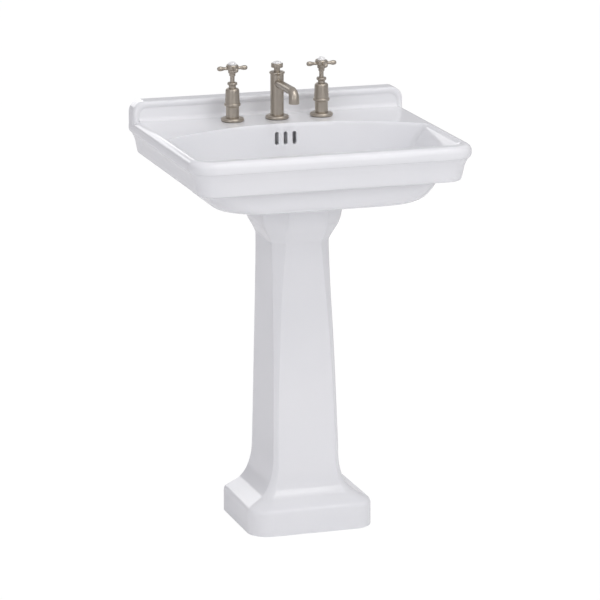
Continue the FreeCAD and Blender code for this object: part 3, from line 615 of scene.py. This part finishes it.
# radius and distance from the hub's centre
handle_arm = [(0, 8), (3.6, 8), (3.3, 15), (3.4, 18), (4.4, 22), (5.1, 25.5), (5.1, 28), (4.4, 31),
              (2.8, 33), (0, 33.5)]
for side, x in (("hot", -TAP_SPACING), ("cold", TAP_SPACING)):
    dress(flange(side + "_flange", 14.3, x), "brushed_nickel", "sink", side + "_base_flange")
    sleeve = turned(side + "_sleeve_turned", [(10.7, 0.8), (14.2, 0.8), (14.2, 31.5), (15.4, 33),
                    (16.9, 33.6), (17.7, 35), (17.7, 37.4), (16.9, 39.2), (15.6, 40), (10.7, 40)], x)
    dress(sleeve, "brushed_nickel", "sink", side + "_sleeve")
    bell_side = faired([(15.8, 40), (15.5, 47), (15, 57), (14.7, 65.6), (14, 69), (12, 71.2), (8, 72)], 2)
    bell_room = [(7, 72), (7, 69.4), (11, 67), (12.2, 63)]
    bell = turned(side + "_bell_turned", [(13.2, 40)] + bell_side + bell_room, x, ease=0)
    dress(bell, "brushed_nickel", "sink", side + "_bell", angle=50)
    gland = turned(side + "_gland", [(5.1, 72), (8, 72), (7.6, 73.4), (7.6, 77.4), (9.8, 78.4), (10.6, 79.4),
                   (10.6, 82.8), (9.8, 84.2), (5.1, 84.4)], x, ease=0.4)
    dress(gland, "brushed_nickel", "sink", side + "_gland_nut")

    # the hub is turned, then four turned arms with swollen ends are brazed into it
    hub = turned(side + "_cross", [(4.8, 98), (6.6, 98), (6.8, 103.4), (8.9, 104.4), (9.2, 110.6),
                 (12.4, 111.6), (13.3, 113), (13.4, 119.8), (12.2, 121.6), (5.4, 121.8), (5.4, ARM_LINE),
                 (4.8, ARM_LINE)], x, ease=0.5)
    for quarter in range(4):
        arm = turned("arm", [(radius, along - RIM) for radius, along in faired(handle_arm, 2)], 0, ease=0,
                     closed=False, around=32)
        edit()
        bpy.ops.transform.translate(value=(0, -WALL - mm(TAP_LINE), 0))
        leave()
        arm.rotation_euler = (0, math.pi / 2, quarter * math.pi / 2)
        arm.location = (mm(x), WALL + mm(TAP_LINE), mm(RIM + ARM_LINE))
        settle(arm)
        cut_or_weld(hub, arm, "UNION")
    dress(hub, "brushed_nickel", side + "_handle", side + "_cross_handle")
    cap_dome = faired([(8.6, 123), (8, 125.4), (6.2, 127.4), (3.4, 128.7), (0, 129.1)], 2)
    cap = turned(side + "_index", [(0, 118.2), (5.4, 118.2), (5.4, 121.9), (8.6, 121.9)] + cap_dome, x,
                 ease=0, closed=False)
    dress(cap, "white_index", side + "_handle", side + "_handle_cap", angle=50)


# ------------------------------------------------------------------ spout
# A plain turned column with a flange and a dished collar, and a drawn tube bent down to the mouth and
# brazed into its front. The knob on the lift rod stands in the collar, with a white glazed button on it.
TOP = 102.5
dress(flange("spout_flange", 14.5, 0.0), "brushed_nickel", "sink", "spout_base_flange")
column = turned("spout_column_turned", [(10.6, 0.8), (14.4, 0.8), (14.4, TOP - 7.5), (11.5, TOP - 7.5),
                (11.5, 5.8), (10.6, 5.8)], 0.0)
dress(column, "brushed_nickel", "sink", "spout_column")
collar_profile = [(4.2, TOP - 12), (11.5, TOP - 12), (11.5, TOP - 7.5), (14.4, TOP - 7.5), (14.9, TOP - 5.6),
                  (16.2, TOP - 4.2), (16.8, TOP - 2.4), (16.2, TOP - 0.7), (14.6, TOP), (12.4, TOP - 0.8),
                  (7.2, TOP - 1.6), (7.2, TOP - 5), (4.2, TOP - 5)]
collar = turned("spout_collar_turned", collar_profile, 0.0, ease=0.35)
dress(collar, "brushed_nickel", "sink", "spout_collar")


def mouth_ring(radius, y, z, tilt):
    """A round ring of the spout's tube, its axis tilted from level to straight down."""
    bpy.ops.object.select_all(action="DESELECT")
    bpy.ops.mesh.primitive_circle_add(vertices=48, radius=mm(radius), rotation=(math.pi / 2 + tilt, 0, 0),
                                      location=(0, WALL + mm(y), mm(RIM + z)))
    return settle(bpy.context.object)


BEND, TIP, MOUTH, TUBE_LINE, TUBE_WALL = 16.0, TAP_LINE - 119.0, TOP - 49.5, TOP - 24.5, 2.6
# distance from the wall, height above the rim, tilt and radius
tube_path = [(TAP_LINE - 10, TUBE_LINE, 0, 9.0), (TAP_LINE - 50, TUBE_LINE, 0, 9.15),
             (TIP + BEND + 8, TUBE_LINE, 0, 9.3)]
for share in range(17):
    swing = math.pi / 2 * share / 16
    tube_path.append((TIP + BEND - BEND * math.sin(swing), TUBE_LINE - BEND + BEND * math.cos(swing), swing,
                      9.5 + 1.7 * share / 16))
tube_path += [(TIP, MOUTH + 0.6, math.pi / 2, 11.4), (TIP, MOUTH, math.pi / 2, 11.1)]
tube_rings = [mouth_ring(radius, y, z, tilt) for y, z, tilt, radius in tube_path]
tube_rings += [mouth_ring(radius - TUBE_WALL, y, z, tilt) for y, z, tilt, radius in reversed(tube_path)]
dress(skin(tube_rings, "spout_tube", closed=True), "brushed_nickel", "sink", "spout_nozzle", angle=50)

knob = turned("knob_turned", [(2.6, TOP - 2.4), (6.6, TOP - 2.4), (6.6, TOP + 8.6), (12, TOP + 8.6),
              (12.7, TOP + 9.4), (12.7, TOP + 17.2), (12, TOP + 18), (10.8, TOP + 18), (10.7, TOP + 15.1),
              (2.6, TOP + 15.1)], 0.0, ease=0.2)
dress(knob, "brushed_nickel", "lift", "lift_knob")
button_dome = faired([(10.6, TOP + 18.2), (9.8, TOP + 19.8), (7.6, TOP + 21.1), (4, TOP + 21.9),
                      (0, TOP + 22.1)], 2)
button = turned("knob_button", [(0, TOP + 15.2), (10.6, TOP + 15.2)] + button_dome, 0.0, ease=0,
                closed=False)
dress(button, "white_index", "lift", "lift_knob_cap", angle=50)
